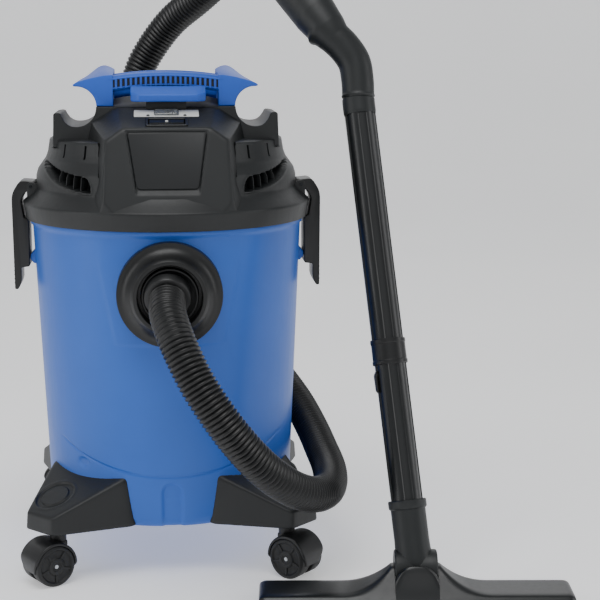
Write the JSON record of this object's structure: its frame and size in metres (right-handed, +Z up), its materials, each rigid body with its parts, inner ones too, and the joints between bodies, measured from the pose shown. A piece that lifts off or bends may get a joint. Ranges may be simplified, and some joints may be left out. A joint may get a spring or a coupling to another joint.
{
  "type": "wet and dry drum vacuum cleaner",
  "caption": "Wet and dry vacuum: blue drum on casters under a black motor head with carry handle, corrugated hose, straight wand and wide floor nozzle.",
  "frame": {"origin": "on the floor, in the middle of the footprint of the whole part without its free hose", "axes": "+Z up, -Y the way the hose inlet and the switch face, +X towards the side where the wand stands"},
  "size_m": [0.6528, 0.5777, 0.7815],
  "materials": {
    "blue_shell": "satin blue moulding",
    "black_shell": "fine-grained black moulding",
    "black_gloss": "glossy black moulding",
    "panel": "semi-gloss black panel",
    "legend": "pale plastic",
    "window": "smoky clear plastic",
    "grey_shell": "grey moulding",
    "rotor_metal": "pressed",
    "filter_fabric": "pleated filter paper",
    "rubber": "matt",
    "steel": "bright",
    "hose_plastic": "soft corrugated plastic",
    "wheel": "hard black plastic",
    "bristle": "dark bristle"
  },
  "bodies": {
    "drum": {"tub": "blue_shell", "inlet_flange": "black_shell", "inlet_deflector": "black_shell", "foot_front_left": "black_shell", "foot_front_right": "black_shell", "foot_rear_left": "black_shell", "foot_rear_right": "black_shell", "hose": "hose_plastic", "hose_inlet_cuff": "black_shell", "hose_grip_cuff": "black_shell", "nozzle_body": "black_gloss", "nozzle_front_strip": "bristle", "nozzle_rear_strip": "rubber"},
    "head": {"head_shell": "black_shell", "front_panel": "panel", "carry_handle": "blue_shell", "switch_bezel": "black_shell", "legend_strip": "legend", "indicator_window": "window", "base_plate": "black_shell", "rim_gasket": "rubber", "motor_housing": "grey_shell", "float_cage": "black_shell", "cord_gland": "rubber", "latch_pin_left": "steel", "latch_pin_right": "steel"},
    "latch_left": {"latch_left": "black_shell"},
    "latch_right": {"latch_right": "black_shell"},
    "rocker": {"switch_rocker": "black_gloss"},
    "button": {"cleaning_button": "blue_shell"},
    "rotor": {"fan_rotor": "rotor_metal"},
    "float": {"float_cup": "legend"},
    "filter_set": {"filter": "filter_fabric", "filter_retainer": "black_shell"},
    "wand": {"nozzle_neck": "black_gloss", "wand_lower_tube": "black_gloss", "wand_upper_tube": "black_gloss", "wand_coupling": "black_shell", "wand_lug": "black_shell", "wand_grip": "black_gloss"},
    "caster_front_left": {"caster_yoke_front_left": "black_shell", "caster_axle_front_left": "steel"},
    "wheels_front_left": {"caster_wheel_a_front_left": "wheel", "caster_wheel_b_front_left": "wheel"},
    "caster_front_right": {"caster_yoke_front_right": "black_shell", "caster_axle_front_right": "steel"},
    "wheels_front_right": {"caster_wheel_a_front_right": "wheel", "caster_wheel_b_front_right": "wheel"},
    "caster_rear_left": {"caster_yoke_rear_left": "black_shell", "caster_axle_rear_left": "steel"},
    "wheels_rear_left": {"caster_wheel_a_rear_left": "wheel", "caster_wheel_b_rear_left": "wheel"},
    "caster_rear_right": {"caster_yoke_rear_right": "black_shell", "caster_axle_rear_right": "steel"},
    "wheels_rear_right": {"caster_wheel_a_rear_right": "wheel", "caster_wheel_b_rear_right": "wheel"}
  },
  "joints": [
    {"name": "head_lift", "type": "slide", "parent": "drum", "child": "head", "axis": [0, 0, 1], "range_m": [0, 0.12]},
    {"name": "latch_left_swing", "type": "hinge", "parent": "head", "child": "latch_left", "pos_m": [-0.30192, 0.06603, 0.464], "axis": [0, 1, 0], "range_deg": [0, 75]},
    {"name": "latch_right_swing", "type": "hinge", "parent": "head", "child": "latch_right", "pos_m": [0.03408, 0.06603, 0.464], "axis": [0, -1, 0], "range_deg": [0, 75]},
    {"name": "switch_rock", "type": "hinge", "parent": "head", "child": "rocker", "pos_m": [-0.13392, -0.04831, 0.54535], "axis": [1, 0, 0], "range_deg": [0, 10]},
    {"name": "button_press", "type": "slide", "parent": "head", "child": "button", "axis": [0, 0, -1], "range_m": [0, 0.004], "stiffness_N_per_m": 500, "springref_m": -0.004},
    {"name": "fan_spin", "type": "hinge", "parent": "head", "child": "rotor", "pos_m": [-0.13392, 0.06603, 0.47], "axis": [0, 0, 1], "continuous": true},
    {"name": "float_rise", "type": "slide", "parent": "head", "child": "float", "axis": [0, 0, 1], "range_m": [0, 0.014]},
    {"name": "filter_pull", "type": "slide", "parent": "head", "child": "filter_set", "axis": [0, 0, -1], "range_m": [0, 0.1]},
    {"name": "wand_tilt", "type": "hinge", "parent": "drum", "child": "wand", "pos_m": [0.14408, -0.19597, 0.039], "axis": [0.9959, -0.0906, 0], "range_deg": [0, 15]},
    {"name": "swivel_front_left", "type": "hinge", "parent": "drum", "child": "caster_front_left", "pos_m": [-0.27192, -0.08596, 0.055], "axis": [0, 0, 1], "continuous": true},
    {"name": "wheel_spin_front_left", "type": "hinge", "parent": "caster_front_left", "child": "wheels_front_left", "pos_m": [-0.28379, -0.09338, 0.025], "axis": [-0.5299, 0.848, 0], "continuous": true},
    {"name": "swivel_front_right", "type": "hinge", "parent": "drum", "child": "caster_front_right", "pos_m": [0.00408, -0.08596, 0.055], "axis": [0, 0, 1], "continuous": true},
    {"name": "wheel_spin_front_right", "type": "hinge", "parent": "caster_front_right", "child": "wheels_front_right", "pos_m": [0.01448, -0.09533, 0.025], "axis": [-0.6691, -0.7431, 0], "continuous": true},
    {"name": "swivel_rear_left", "type": "hinge", "parent": "drum", "child": "caster_rear_left", "pos_m": [-0.27192, 0.21804, 0.055], "axis": [0, 0, 1], "continuous": true},
    {"name": "wheel_spin_rear_left", "type": "hinge", "parent": "caster_rear_left", "child": "wheels_rear_left", "pos_m": [-0.28054, 0.22907, 0.025], "axis": [0.788, 0.6157, 0], "continuous": true},
    {"name": "swivel_rear_right", "type": "hinge", "parent": "drum", "child": "caster_rear_right", "pos_m": [0.00408, 0.21804, 0.055], "axis": [0, 0, 1], "continuous": true},
    {"name": "wheel_spin_rear_right", "type": "hinge", "parent": "caster_rear_right", "child": "wheels_rear_right", "pos_m": [0.01448, 0.2274, 0.025], "axis": [0.6691, -0.7431, 0], "continuous": true}
  ]
}
